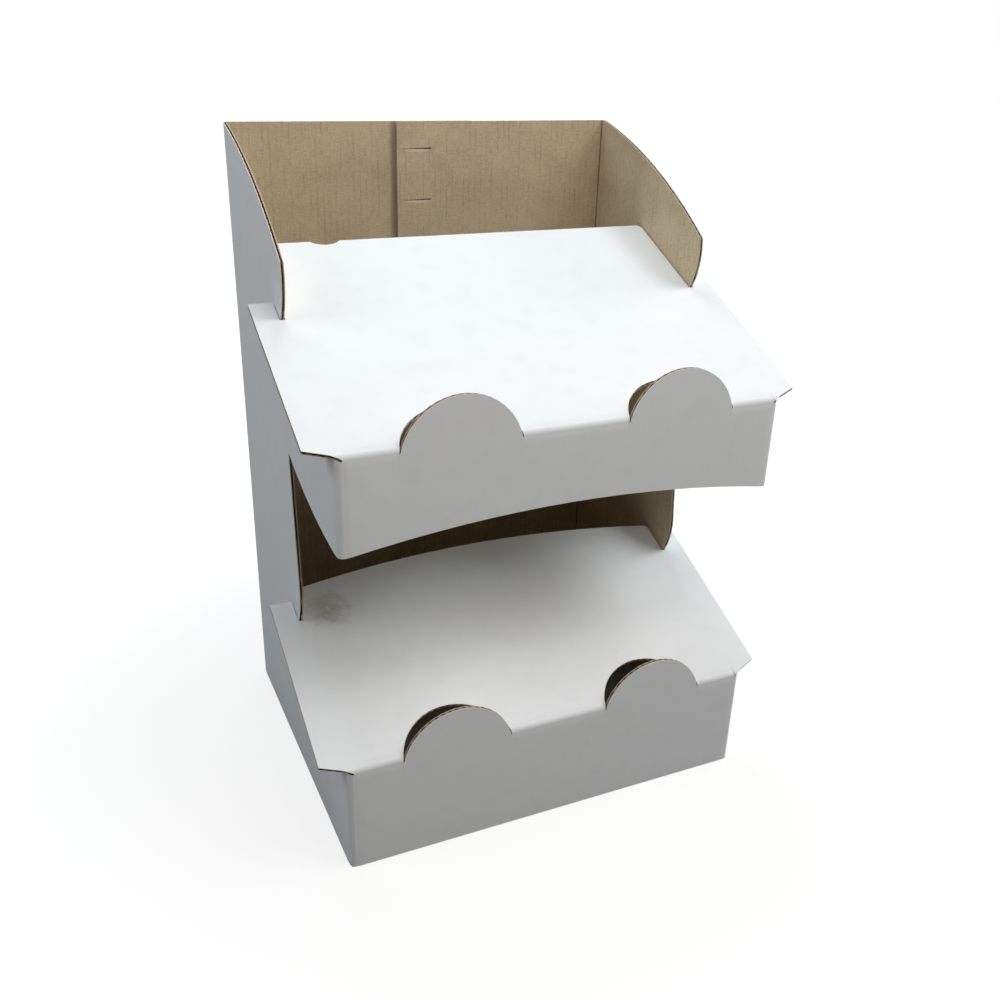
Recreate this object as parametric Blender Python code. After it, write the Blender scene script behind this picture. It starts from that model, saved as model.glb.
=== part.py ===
"""Two-tier counter display stand, folded from one die-cut sheet of single-wall corrugated board.

The sheet is drawn flat as it comes off the cutting die, given its thickness, and then folded:
each shelf turns back from the front panel, the sleeve's four panels turn round the corners, and
the two back halves lap and are glued. All sizes are in metres. The stand rests on its open
bottom edge, with its front towards -Y and the origin at the middle of that footprint.
"""

import math

import bmesh
import bpy
import numpy as np
from mathutils import Vector

# Driving sizes of the folded stand, outside to outside
WIDTH = 0.212
DEPTH = 0.180
HEIGHT = 0.3128
BOARD = 0.0017
SHELF_SLOPE = math.radians(24.0)

# Heights of the two folds where a shelf leaves the front panel
LOWER_FOLD = 0.055
UPPER_FOLD = 0.2054

# Lengths along the shelves, from the outer edge of the fold
UPPER_SHELF = 0.1415
LOWER_SHELF = 0.1050
EAR_WIDTH = 0.0114
EAR_REAR = 0.0978
WING_TIP = 0.0857

# Upper front panel, whose bottom edge and the lower shelf's rear edge share one arch
UPPER_FRONT_BOTTOM = 0.1612
ARCH_RISE = 0.0087

# Half-moon tabs, which stay in the plane of the front panel when the shelf folds back
TAB_OFFSET = 0.0525
TAB_RADIUS = 0.0274
TAB_HEIGHT = 0.0196

# Side panels: the wings that rise through the shelves, measured from the wing's tip
BROW_BOW = 0.0057
NOSE_REACH = 0.0049
NOSE_RISE = 0.0254
NOSE_ROUND = 0.0012
NOSE_BOW = 0.0024
NOTCH_HEIGHT = 0.1783
NOTCH_SETBACK = 0.0002
NOTCH_ROUND = 0.0010
TRAY_BOW = 0.0034

# The glued lap in the back: the left half lies outside, the right half inside
OUTER_LAP_END = 0.0250
INNER_LAP_END = -0.0180
GLUE_GAP = 0.0003
GLUE_BITE = 0.0003
GLUE_MARGIN = 0.0060
GLUE_FROM_TOP = 0.0600
LAP_EASE = 0.0030
LAP_BEND_RADIUS = 0.0500

# Two slits for a header card in the inner lap
SLIT_LENGTH = 0.0165
SLIT_FROM_EDGE = 0.0025
SLIT_HEIGHT = 0.0007
SLIT_TOP = 0.0129
SLIT_PITCH = 0.0260

# A crushed nick in the rear edge of the upper shelf
NICK_START = -0.0785
NICK_WIDTH = 0.0145
NICK_DEPTH = 0.0030

# Folds and cuts
FOLD_RADIUS = 0.0022
KNIFE_GAP = 0.0005
CLEARANCE = 0.0004
SHELF_ROUND = 0.0030
EAR_ROUND = 0.0008
CORNER_STEPS = 5
CREASE_STEPS = 4
LAP_STEPS = 2
ROUND_STEPS = 5
BOW_STEPS = 12
TAB_STEPS = 24

# Points nearer than MERGE become one, and faces that meet within FLAT are joined before the facets
MERGE = 0.00002
FLAT = math.radians(0.1)
SHARP_EDGE = math.radians(30)

PAPER_WHITE = (0.86, 0.88, 0.90, 1.0)
PAPER_ROUGHNESS = 0.55

# Sizes that follow from the ones above
OUTER_RADIUS = FOLD_RADIUS + BOARD / 2
FRONT_HALF = WIDTH / 2 - OUTER_RADIUS
SIDE_FLAT = DEPTH - 2 * OUTER_RADIUS
CORNER_ARC = FOLD_RADIUS * math.pi / 2
SIDE_END = FRONT_HALF + CORNER_ARC + SIDE_FLAT
SHELF_TURN = math.pi / 2 - SHELF_SLOPE
CREASE_ARC = FOLD_RADIUS * SHELF_TURN
FOLD_SETBACK = OUTER_RADIUS * math.tan(SHELF_TURN / 2)
EAR_EDGE = WIDTH / 2 + EAR_WIDTH
SLOT_INNER = WIDTH / 2 - BOARD - CLEARANCE
SLOT_OUTER = WIDTH / 2 + CLEARANCE
LAP_RUN = WIDTH / 2 - OUTER_RADIUS - OUTER_LAP_END - LAP_EASE
LAP_TILT = math.asin((BOARD + GLUE_GAP) / LAP_RUN)
RIGHT_CORNER_ARC = FOLD_RADIUS * (math.pi / 2 + LAP_TILT)
LAP_START = SIDE_END + RIGHT_CORNER_ARC + LAP_RUN
LAP_ARC = LAP_BEND_RADIUS * LAP_TILT
RIGHT_END = LAP_START + OUTER_LAP_END + LAP_EASE - INNER_LAP_END
LEFT_END = SIDE_END + CORNER_ARC + FRONT_HALF + OUTER_LAP_END


def clear_scene():
    """Removes whatever the file holds before the stand is made."""
    for obj in list(bpy.data.objects):
        bpy.data.objects.remove(obj, do_unlink=True)


def arc_points(centre, first, sweep, steps):
    """Points of the arc round centre that begins at the offset first and turns clockwise by sweep."""
    points = []
    for step in range(steps + 1):
        angle = -sweep * step / steps
        turned = Vector((
            first.x * math.cos(angle) - first.y * math.sin(angle),
            first.x * math.sin(angle) + first.y * math.cos(angle),
        ))
        points.append(tuple(centre + turned))
    return points


def bow(start, end, rise):
    """Points of the circular arc from start to end that stands off its chord by rise, to the left."""
    start, end = Vector(start), Vector(end)
    chord = end - start
    left = Vector((-chord.y, chord.x)).normalized()
    half = chord.length / 2
    radius = (half * half + rise * rise) / (2 * rise)
    centre = (start + end) / 2 + left * (rise - radius)
    sweep = 2 * math.asin(half / abs(radius)) * math.copysign(1, radius)
    return arc_points(centre, start - centre, sweep, BOW_STEPS)


def rounded(before, corner, after, radius):
    """Points of the fillet of this radius at a corner between two straight edges."""
    corner = Vector(corner)
    arriving = (Vector(before) - corner).normalized()
    leaving = (Vector(after) - corner).normalized()
    half = arriving.angle(leaving) / 2
    reach = radius / math.tan(half)
    centre = corner + (arriving + leaving).normalized() * (radius / math.sin(half))
    first = corner + arriving * reach - centre
    sweep = first.angle_signed(corner + leaving * reach - centre)
    return arc_points(centre, first, sweep, ROUND_STEPS)


def side_u(depth):
    """Where a point of the right side panel, this far behind the front face, lies on the flat sheet."""
    return FRONT_HALF + CORNER_ARC + depth - OUTER_RADIUS


def side_depth(u):
    """How far behind the front face a point of the flat sheet's right side panel comes to lie."""
    return u - FRONT_HALF - CORNER_ARC + OUTER_RADIUS


def shelf_v(fold, along):
    """Height on the flat sheet of a point this far along a shelf from the outer edge of its fold."""
    return fold - 2 * FOLD_SETBACK + CREASE_ARC + along


def seat_v(fold, depth):
    """Height of the side panel's sloped edge, which carries the shelf, this far behind the front."""
    return fold + depth * math.tan(SHELF_SLOPE) - (BOARD + CLEARANCE) / math.cos(SHELF_SLOPE)


def mirrored(points):
    """The same points on the other side of the sheet's middle line, in reverse order."""
    return [(-u, v) for u, v in reversed(points)]


def wing_tip(fold):
    """Tip of a wing where it comes through the shelf's top face, as (depth, height)."""
    return WING_TIP * math.cos(SHELF_SLOPE), fold + WING_TIP * math.sin(SHELF_SLOPE)


def seat_line(fold):
    """Right side panel's edge under a shelf, from the wing's tip down to the front corner."""
    depth, height = wing_tip(fold)
    under = BOARD + CLEARANCE
    inner = depth + under * math.sin(SHELF_SLOPE)
    return [
        (side_u(depth), height),
        (side_u(inner), seat_v(fold, inner)),
        (side_u(OUTER_RADIUS), seat_v(fold, OUTER_RADIUS)),
        (FRONT_HALF, fold - FOLD_SETBACK - CLEARANCE),
    ]


def nose(fold):
    """Front edge of a wing: the foremost point of its nose, then the bow down to its tip."""
    depth, height = wing_tip(fold)
    front = (side_u(depth - NOSE_REACH), height + NOSE_RISE)
    return bow(front, (side_u(depth), height), -NOSE_BOW)


def upper_wing():
    """Right wing above the upper shelf, from the back's top edge round the nose to the tip."""
    front = nose(UPPER_FOLD)
    brow = bow((SIDE_END, HEIGHT), front[0], -BROW_BOW)
    return brow[:-1] + rounded(brow[-2], front[0], front[1], NOSE_ROUND) + front[1:-1]


def shelf_half(fold, rear):
    """Right half of a shelf's outline, from the front corner round the ear to the rear edge."""
    ear_front = seat_v(fold, side_depth(EAR_EDGE)) + KNIFE_GAP
    ear_rear = shelf_v(fold, EAR_REAR)
    slot_front = shelf_v(fold, WING_TIP - CLEARANCE)
    edge = [(EAR_EDGE, ear_front)]
    edge += rounded((EAR_EDGE, ear_front), (EAR_EDGE, ear_rear), (SLOT_OUTER, ear_rear), EAR_ROUND)
    edge += rounded((EAR_EDGE, ear_rear), (SLOT_OUTER, ear_rear), (SLOT_OUTER, slot_front), EAR_ROUND)
    edge += [(SLOT_OUTER, slot_front), (SLOT_INNER, slot_front)]
    edge += rounded((SLOT_INNER, slot_front), (SLOT_INNER, rear), (0, rear), SHELF_ROUND)
    return [(FRONT_HALF, fold - FOLD_SETBACK + KNIFE_GAP)] + edge


def nick(rear):
    """Crushed nick in the upper shelf's rear edge, right to left."""
    return bow((NICK_START + NICK_WIDTH, rear), (NICK_START, rear), NICK_DEPTH)


def outer_outline():
    """Outside edge of the flat sheet, anticlockwise from the left half's bottom corner."""
    rear = shelf_v(UPPER_FOLD, UPPER_SHELF)
    right = upper_wing() + seat_line(UPPER_FOLD) + shelf_half(UPPER_FOLD, rear)
    return ([(-LEFT_END, 0), (RIGHT_END, 0), (RIGHT_END, HEIGHT)]
            + right + nick(rear) + mirrored(right) + [(-LEFT_END, HEIGHT)])


def tier_opening():
    """Opening between the tiers, from which the lower shelf has been cut and folded back."""
    depth, height = wing_tip(LOWER_FOLD)
    front = nose(LOWER_FOLD)
    notch = (side_u(depth + NOTCH_SETBACK), NOTCH_HEIGHT)
    corner = (side_u(OUTER_RADIUS), UPPER_FRONT_BOTTOM)
    notch_round = rounded(front[0], notch, corner, NOTCH_ROUND)
    right_side = list(reversed(seat_line(LOWER_FOLD)))[:-1] + list(reversed(front)) + notch_round
    tray = bow(notch_round[-1], corner, TRAY_BOW)[1:]
    arch = bow((FRONT_HALF, UPPER_FRONT_BOTTOM), (-FRONT_HALF, UPPER_FRONT_BOTTOM), -ARCH_RISE)
    rear = shelf_v(LOWER_FOLD, LOWER_SHELF)
    flap = shelf_half(LOWER_FOLD, rear)
    shelf_arch = bow(flap[-1], (-flap[-1][0], flap[-1][1]), -ARCH_RISE)[1:-1]
    right = right_side + tray
    left_flap = list(reversed(mirrored(flap)))
    return right + arch + mirrored(right) + left_flap + shelf_arch[::-1] + flap[::-1]


def tab_cut(fold, middle):
    """Half-moon cut between a tab and its hole in the shelf, one knife line with its gap."""
    centre = fold + TAB_HEIGHT - TAB_RADIUS
    sill = fold - FOLD_SETBACK - centre
    points = []
    for radius, way in ((TAB_RADIUS + KNIFE_GAP, 1), (TAB_RADIUS, -1)):
        start = math.asin(sill / radius)
        arc = [start + (math.pi - 2 * start) * step / TAB_STEPS for step in range(TAB_STEPS + 1)]
        points += [(middle + radius * math.cos(a), centre + radius * math.sin(a)) for a in arc[::way]]
    return points


def header_slits():
    """The two header-card slits of the inner lap."""
    right = RIGHT_END - SLIT_FROM_EDGE
    left = right - SLIT_LENGTH
    cuts = []
    for number in range(2):
        top = HEIGHT - SLIT_TOP - number * SLIT_PITCH
        low = top - SLIT_HEIGHT
        cuts.append([(left, low), (right, low), (right, top), (left, top)])
    return cuts


def flat_sheet(collection):
    """Mesh of the flat die-cut sheet: its outlines filled and given the board's thickness."""
    curve = bpy.data.curves.new("flat_sheet", "CURVE")
    curve.dimensions = "2D"
    curve.fill_mode = "BOTH"
    curve.extrude = BOARD / 2
    cuts = [tab_cut(fold, side * TAB_OFFSET) for fold in (LOWER_FOLD, UPPER_FOLD) for side in (-1, 1)]
    for outline in [outer_outline(), tier_opening()] + cuts + header_slits():
        spline = curve.splines.new("POLY")
        spline.points.add(len(outline) - 1)
        for point, (u, v) in zip(spline.points, outline):
            point.co = (u, v, 0, 1)
        spline.use_cyclic_u = True
    drawing = bpy.data.objects.new("flat_sheet", curve)
    collection.objects.link(drawing)
    graph = bpy.context.evaluated_depsgraph_get()
    mesh = bpy.data.meshes.new_from_object(drawing.evaluated_get(graph))
    bpy.data.objects.remove(drawing, do_unlink=True)
    return mesh


def score(sheet, faces, position, axis):
    """Cuts the given faces of the sheet along a straight line, so that they can bend there."""
    point = [0, 0, 0]
    point[axis] = position
    normal = [0, 0, 0]
    normal[axis] = 1
    edges = {edge for face in faces for edge in face.edges}
    verts = {vert for face in faces for vert in face.verts}
    bmesh.ops.bisect_plane(sheet, geom=list(verts) + list(edges) + list(faces), dist=MERGE,
                           plane_co=point, plane_no=normal)


def scored_sheet(mesh):
    """Adds the lines that the folds need: round the sleeve's corners and across the two creases."""
    sheet = bmesh.new()
    sheet.from_mesh(mesh)
    bmesh.ops.remove_doubles(sheet, verts=sheet.verts, dist=MERGE)
    lines = []
    for step in range(CORNER_STEPS + 1):
        share = step / CORNER_STEPS
        for side in (-1, 1):
            lines.append(side * (FRONT_HALF + CORNER_ARC * share))
        lines.append(-SIDE_END - CORNER_ARC * share)
        lines.append(SIDE_END + RIGHT_CORNER_ARC * share)
    lines += [LAP_START + LAP_ARC * step / LAP_STEPS for step in range(LAP_STEPS + 1)]
    beside_ear = EAR_EDGE + CLEARANCE
    lines += [-beside_ear, beside_ear]
    for line in lines:
        score(sheet, sheet.faces[:], line, 0)
    for fold in (LOWER_FOLD, UPPER_FOLD):
        for step in range(CREASE_STEPS + 1):
            level = fold - FOLD_SETBACK + CREASE_ARC * step / CREASE_STEPS
            near = [face for face in sheet.faces
                    if all(abs(vert.co.x) < beside_ear + MERGE for vert in face.verts)]
            score(sheet, near, level, 1)
    bmesh.ops.recalc_face_normals(sheet, faces=sheet.faces[:])
    sheet.to_mesh(mesh)
    sheet.free()


def bend(points, moving, start, axis, way, angle, radius):
    """Rolls the moving points round a fold that begins at start: towards +Y if the angle is positive.

    A point's distance past the start is s and its height above the middle of the board h. While
    s is within the arc it turns about the fold's centre, and beyond it the panel stays straight.
    """
    side = math.copysign(1, angle)
    past = (points[:, axis] - start) * way
    moved = moving & (past > 0)
    s, h = past[moved], side * points[moved, 1]
    turn = np.clip(s / radius, 0, abs(angle))
    beyond = np.maximum(s - radius * abs(angle), 0)
    points[moved, axis] = start + way * ((radius - h) * np.sin(turn) + beyond * np.cos(turn))
    points[moved, 1] = side * (radius - (radius - h) * np.cos(turn) + beyond * np.sin(turn))


def flap_points(u, v, fold, limit):
    """Which points of the flat sheet belong to a shelf and its ears, and not to its tabs."""
    centre = fold + TAB_HEIGHT - TAB_RADIUS
    flap = (np.abs(u) < EAR_EDGE + CLEARANCE) & (v < limit)
    flap &= v > fold - FOLD_SETBACK - CLEARANCE / 2
    flap &= v > seat_v(fold, side_depth(np.abs(u))) + KNIFE_GAP / 2
    for side in (-1, 1):
        reach = np.hypot(u - side * TAB_OFFSET, v - centre)
        flap &= reach > TAB_RADIUS + KNIFE_GAP / 2
    return flap


def fold_sheet(mesh):
    """Folds the flat sheet: the shelves first, then the lap, the back corners and the front corners."""
    flat = np.empty(len(mesh.vertices) * 3, np.float32)
    mesh.vertices.foreach_get("co", flat)
    flat = flat.reshape(-1, 3).astype(np.float64)
    u, v = flat[:, 0], flat[:, 1]
    points = np.column_stack([u, -flat[:, 2], v])
    shelves = np.zeros(len(points), bool)
    arch = ARCH_RISE * (1 - (u / FRONT_HALF) ** 2)
    between = (shelf_v(LOWER_FOLD, LOWER_SHELF) + UPPER_FRONT_BOTTOM) / 2 + arch
    for fold, limit in ((LOWER_FOLD, between), (UPPER_FOLD, np.inf)):
        flap = flap_points(u, v, fold, limit)
        bend(points, flap, fold - FOLD_SETBACK, 2, 1, SHELF_TURN, FOLD_RADIUS)
        shelves |= flap
    panels = ~shelves
    bend(points, panels, LAP_START, 0, 1, -LAP_TILT, LAP_BEND_RADIUS)
    bend(points, panels, SIDE_END, 0, 1, math.pi / 2 + LAP_TILT, FOLD_RADIUS)
    bend(points, panels, -SIDE_END, 0, -1, math.pi / 2, FOLD_RADIUS)
    for way in (-1, 1):
        bend(points, panels, way * FRONT_HALF, 0, way, math.pi / 2, FOLD_RADIUS)
    points[:, 1] += (BOARD - DEPTH) / 2
    mesh.vertices.foreach_set("co", points.astype(np.float32).ravel())
    folded = bmesh.new()
    folded.from_mesh(mesh)
    bmesh.ops.remove_doubles(folded, verts=folded.verts, dist=MERGE)
    bmesh.ops.dissolve_degenerate(folded, edges=folded.edges[:], dist=MERGE)
    bmesh.ops.dissolve_limit(folded, angle_limit=FLAT, verts=folded.verts[:], edges=folded.edges[:])
    bmesh.ops.triangulate(folded, faces=folded.faces[:])
    folded.to_mesh(mesh)
    folded.free()


def white_paper():
    """Bleached liner paper of the board's outside."""
    material = bpy.data.materials.new("white_liner_board")
    material.use_nodes = True
    shader = material.node_tree.nodes["Principled BSDF"]
    shader.inputs["Base Color"].default_value = PAPER_WHITE
    shader.inputs["Roughness"].default_value = PAPER_ROUGHNESS
    shader.inputs["Metallic"].default_value = 0.0
    return material


def glue_line(collection):
    """Band of dried glue between the two halves of the back, which makes them one."""
    inner, outer = INNER_LAP_END + GLUE_MARGIN, OUTER_LAP_END - GLUE_MARGIN
    bottom, top = GLUE_MARGIN, HEIGHT - GLUE_FROM_TOP
    thick = GLUE_GAP + 2 * GLUE_BITE
    face = DEPTH / 2 - BOARD - GLUE_GAP / 2
    bpy.ops.mesh.primitive_cube_add(size=1, location=((inner + outer) / 2, face, (bottom + top) / 2))
    band = bpy.context.object
    band.name = "lap_glue"
    band.scale = (outer - inner, thick, top - bottom)
    band.hide_render = True
    band.display_type = "WIRE"
    for owner in list(band.users_collection):
        owner.objects.unlink(band)
    collection.objects.link(band)
    return band


def build():
    """Makes the stand and its helper in their collections."""
    clear_scene()
    stand = bpy.data.collections.new("cardboard_display_stand")
    helpers = bpy.data.collections.new("helpers")
    bpy.context.scene.collection.children.link(stand)
    bpy.context.scene.collection.children.link(helpers)

    mesh = flat_sheet(stand)
    mesh.name = "folded_board"
    scored_sheet(mesh)
    fold_sheet(mesh)
    mesh.materials.clear()
    mesh.materials.append(white_paper())

    board = bpy.data.objects.new("folded_board", mesh)
    stand.objects.link(board)
    join = board.modifiers.new("glued_lap", "BOOLEAN")
    join.operation = "UNION"
    join.solver = "EXACT"
    join.object = glue_line(helpers)
    mesh.shade_smooth()
    mesh.set_sharp_from_angle(angle=SHARP_EDGE)


build()
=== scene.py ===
"""Looks and studio for a two-tier counter display stand folded from one die-cut corrugated sheet.

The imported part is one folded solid. This script draws the same flat blank again, makes it as single-wall
board is made, two liner papers with a fluted paper between them, folds it by the same rule, and gives each
paper its finish. Sizes are in metres unless a name or a comment says millimetres.
"""

import math

import bpy
import numpy as np
from mathutils import Matrix, Vector


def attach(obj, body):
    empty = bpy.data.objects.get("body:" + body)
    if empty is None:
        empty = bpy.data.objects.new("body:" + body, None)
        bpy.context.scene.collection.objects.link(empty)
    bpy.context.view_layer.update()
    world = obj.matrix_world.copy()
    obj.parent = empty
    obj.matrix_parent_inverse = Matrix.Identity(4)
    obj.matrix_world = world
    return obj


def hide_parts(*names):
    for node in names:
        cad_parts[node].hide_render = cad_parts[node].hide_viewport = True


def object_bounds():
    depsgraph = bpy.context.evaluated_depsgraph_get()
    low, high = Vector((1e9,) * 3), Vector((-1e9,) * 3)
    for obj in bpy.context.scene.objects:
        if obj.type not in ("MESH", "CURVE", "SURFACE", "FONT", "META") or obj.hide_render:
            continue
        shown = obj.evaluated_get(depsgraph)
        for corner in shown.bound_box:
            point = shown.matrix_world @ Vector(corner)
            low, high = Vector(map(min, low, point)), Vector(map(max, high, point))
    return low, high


bl_info = {
    "name": "Corrugated Display Stand",
    "version": (1, 0, 0),
    "blender": (4, 5, 0),
    "location": "3D Viewport > Sidebar > Display Stand",
    "description": "Makes the papers of a folded corrugated display stand and a plain studio round it",
    "category": "Add Mesh",
}

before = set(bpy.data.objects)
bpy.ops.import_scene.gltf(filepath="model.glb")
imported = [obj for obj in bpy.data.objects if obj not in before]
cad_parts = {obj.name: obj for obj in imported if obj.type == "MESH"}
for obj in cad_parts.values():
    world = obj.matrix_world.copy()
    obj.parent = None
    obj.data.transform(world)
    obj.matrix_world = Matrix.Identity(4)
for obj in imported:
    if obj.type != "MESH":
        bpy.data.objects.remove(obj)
CAD_LOW, CAD_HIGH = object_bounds()
CAD_SIZE = CAD_HIGH - CAD_LOW

BOARD_NODE = "folded_board"
BLANK_MAP = "blank_mm"
MM = 1000.0

# The knife lines of the blank, as in the part's own source
BROW_BOW = 0.0057
NOSE_REACH = 0.0049
NOSE_RISE = 0.0254
NOSE_ROUND = 0.0012
NOSE_BOW = 0.0024
NOTCH_HEIGHT = 0.1783
NOTCH_SETBACK = 0.0002
NOTCH_ROUND = 0.0010
TRAY_BOW = 0.0034
GLUE_GAP = 0.0003
LAP_EASE = 0.0030
LAP_BEND_RADIUS = 0.0500
SLIT_LENGTH = 0.0165
SLIT_FROM_EDGE = 0.0025
SLIT_HEIGHT = 0.0007
SLIT_TAPER = 0.12
SLIT_TOP = 0.0129
SLIT_PITCH = 0.0260
SLITS = 2
NICK_START = -0.0785
NICK_WIDTH = 0.0145
NICK_DEPTH = 0.0030
FOLD_RADIUS = 0.0022
KNIFE_GAP = 0.0005
CLEARANCE = 0.0004
GROOVE_REACH = 0.0005
SHELF_ROUND = 0.0030
EAR_ROUND = 0.0008

# Marks on the white liner: centre and radius in millimetres on the blank, strength. The first is
# a stain on the lower shelf's rear, partly painted shade browned by light off the kraft; the second
# is painted shade on the tray side beside the upper front-left corner
STAIN_AND_SHADE_MARKS = (
    ((-90.0, 144.0), 15.0, 0.35),
    ((-110.0, 200.0), 7.0, 0.25),
)

# Painted highlight under each slit, where its lip would catch the light: how far its middle line is
# below the slit and half its height, in millimetres, and its strength
SLIT_HIGHLIGHT_DROP = 0.7
SLIT_HIGHLIGHT_REACH = 1.0
SLIT_HIGHLIGHT_STRENGTH = 0.8

# Heights on the blank, in millimetres, between which the painted shadow beside the lap's edge starts to show
LAP_SHADOW_HEIGHTS = (190.0, 235.0)

# Bands of painted shade on the inner liner, beside the lap's edge and in the upright folds: half width
# of the full dark part and of the whole band, in millimetres, and strength
LAP_SHADOW_BAND = (1.6, 3.8, 0.5)
FOLD_SHADE_BAND = (0.2, 0.8, 0.8)

# Shine of paper, shade of the hollows in a cut edge and depth of a paper's tooth
PAPER_SHINE = 0.2
HOLLOW_SHADE = 0.75
TOOTH_DEPTH = 0.00004

# Soft lamps round the stand: name, place, side of the square, power in watts, colour
LAMPS = (
    ("front_high", (0.0, -0.482, 0.725), 0.45, 1.8, (1.0, 0.90, 0.80)),
    ("front_right", (1.002, -0.579, 1.529), 0.90, 14.8, (0.94, 0.96, 0.97)),
    ("right_low", (1.137, 0.100, 0.521), 0.60, 6.0, (0.98, 0.98, 0.98)),
    ("left", (-0.655, 0.0, 0.609), 0.40, 1.42, (0.96, 0.97, 1.0)),
    ("rear", (0.0, 0.400, 0.843), 0.40, 2.8, (0.80, 0.93, 1.0)),
)
LAMP_AIM = (0.0, 0.0, 0.15)

# Colour of the floor for the light it throws back and where it is seen, its half width and its place below
# the stand
FLOOR_BOUNCE = (0.30, 0.30, 0.30)
FLOOR_SEEN = (0.22, 0.22, 0.22)
FLOOR_REACH = 6.0
FLOOR_DROP = 0.0003

# Glow of the floor: at the first distance from the stand's middle the first level, then up to the second
GLOW_PLACES = (0.16, 0.42)
GLOW_LEVELS = (0.80, 1.05)
WHITE = (1.0, 1.0, 1.0, 1.0)

# Width of the camera's sensor in millimetres, and how near it sees in metres
SENSOR_WIDTH = 36.0
CAMERA_NEAR = 0.01

# Steps in which curves and folds are drawn
ARC_STEPS = 16
ROUND_STEPS = 6
TAB_STEPS = 36
CREASE_STEPS = 8
CORNER_STEPS = 12

# Mesh lines beside a shelf's fold, in multiples of the crush reach
CRUSH_STEPS = (0.5, 1.0, 1.6, 2.4)

# Distances in the mesh: one that counts as none, one past every edge of the blank, places closer than which
# are one, and how near a line of the grid may come to a line that is needed
NEAR = 0.0000002
FAR = 10.0
SNAP = 0.000005
GRID_SPARE = 0.00008

# Points are told apart by tenths of a micrometre in height, and lines by more steps than the blank is high
HEIGHT_STEPS = 1e7
LINE_STRIDE = 1 << 24

# Edges sharper than this keep their edge in the shading
SHARP_ANGLE = math.radians(40)


def length(name, value, about):
    """A length property in metres."""
    return bpy.props.FloatProperty(name=name, description=about, default=value, unit="LENGTH", precision=4)


def colour(name, code, about):
    """A colour property whose default is an sRGB hex value."""
    return bpy.props.FloatVectorProperty(
        name=name, description=about, default=linear(code), size=3, subtype="COLOR", min=0, max=1
    )


def linear(code):
    """Linear RGB of a hex value: c / 12.92 below 0.04045, else ((c + 0.055) / 1.055) to the power 2.4."""
    c = np.array([int(code[i:i + 2], 16) for i in (1, 3, 5)]) / 255
    return tuple(float(x) for x in np.where(c <= 0.04045, c / 12.92, ((c + 0.055) / 1.055) ** 2.4))


class StandSizes(bpy.types.PropertyGroup):
    """Outside sizes of the folded stand and the main lengths of its blank."""

    ear_width: length("Ear Width", 0.0114, "How far an ear stands out beyond the side panel")
    depth: length("Depth", CAD_SIZE.y, "Front face to back face")
    height: length("Height", CAD_SIZE.z, "Height of the back and the side panels")
    slope: bpy.props.FloatProperty(
        name="Shelf Slope", description="Slope of both shelves, rising to the back",
        default=math.radians(24), subtype="ANGLE", unit="ROTATION",
    )
    lower_fold: length("Lower Fold", 0.055, "Height of the fold between the lower front and its shelf")
    upper_fold: length("Upper Fold", 0.2054, "Height of the fold between the upper front and its shelf")
    upper_shelf: length("Upper Shelf", 0.1415, "Length of the upper shelf along its slope")
    lower_shelf: length("Lower Shelf", 0.1050, "Length of the lower shelf along its slope")
    ear_rear: length("Ear Rear", 0.0978, "Rear edge of the ears, along the shelf")
    wing_tip: length("Wing Tip", 0.0857, "Where the wing comes up through the shelf, along the shelf")
    front_bottom: length("Upper Front Bottom", 0.1612, "Height of the upper front's bottom edge at its ends")
    arch_rise: length("Arch Rise", 0.0087, "Rise of the arch in the upper front's bottom edge")
    tab_offset: length("Tab Offset", 0.0525, "Half-moon tabs, from the middle line")
    tab_radius: length("Tab Radius", 0.0274, "Radius of the half-moon tabs")
    tab_height: length("Tab Height", 0.0196, "Height of the half-moon tabs above the fold")
    outer_lap: length("Outer Lap End", 0.0250, "End of the outer back half, past the middle line")
    inner_lap: length("Inner Lap End", -0.0180, "End of the inner back half, as seen from the front")


class BoardMake(bpy.types.PropertyGroup):
    """What the corrugated board is made of."""

    board: length("Board", 0.0017, "Thickness of the board, liner to liner")
    pitch: length("Flute Pitch", 0.0033, "Distance from flute to flute")
    liner: length("Liner", 0.00035, "Thickness of each liner paper")
    medium: length("Medium", 0.00017, "Thickness of the fluted paper")
    washboard: length("Washboard", 0.000008, "How far a liner sinks between two flute tips")
    crush: bpy.props.FloatProperty(
        name="Crease Crush", description="Share of the thickness that a crease has lost",
        default=0.22, min=0, max=0.6, subtype="FACTOR",
    )
    groove: bpy.props.FloatProperty(
        name="Crease Groove", description="Depth of the score in a fold, as a share of half the thickness",
        default=0.6, min=0, max=0.9, subtype="FACTOR",
    )
    crush_reach: length("Crush Reach", 0.0014, "Half width of the crushed band beside a crease")
    lines_per_flute: bpy.props.IntProperty(
        name="Lines per Flute", description="Mesh lines in one flute", default=8, min=4, max=32
    )


class PaperColours(bpy.types.PropertyGroup):
    """Colours of the papers."""

    white: colour("White Liner", "#EDF1F4", "Bleached outer liner")
    smudge: colour("Cloud", "#A9ABAF", "Thin patches of the white liner")
    # Stain on the lower shelf, partly painted shade, and painted shade beside the upper tray's corner
    stain_and_shade: colour("Stain", "#9E8C7A", "Handling marks on the white liner")
    kraft: colour("Kraft Liner", "#D1C1A4", "Unbleached inner liner")
    # Also the colour of the flute lines, partly painted shade of the washboard
    kraft_dark: colour("Kraft Fibres", "#AD9E83", "Darker fibres of the inner liner")
    # Painted shade: the inner corner of each upright fold, and the shadow of the lap's edge beside the lap
    painted_shade: colour("Score", "#6A5742", "Inner liner where a fold is scored and where glue shows")
    # Darkened in part as painted shade of the hollows between the flutes
    medium: colour("Fluted Paper", "#3C2B1E", "Recycled fluted paper")
    cut: colour("Cut Edge", "#F0E2D4", "Cut edge of the outer liner")
    # Also the colour of the painted highlight under each header slit
    cut_kraft: colour("Cut Kraft Edge", "#E2CCB4", "Cut edge of the inner liner")
    cut_medium: colour("Cut Fluting", "#8E7561", "Cut edge of the fluted paper")


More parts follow.
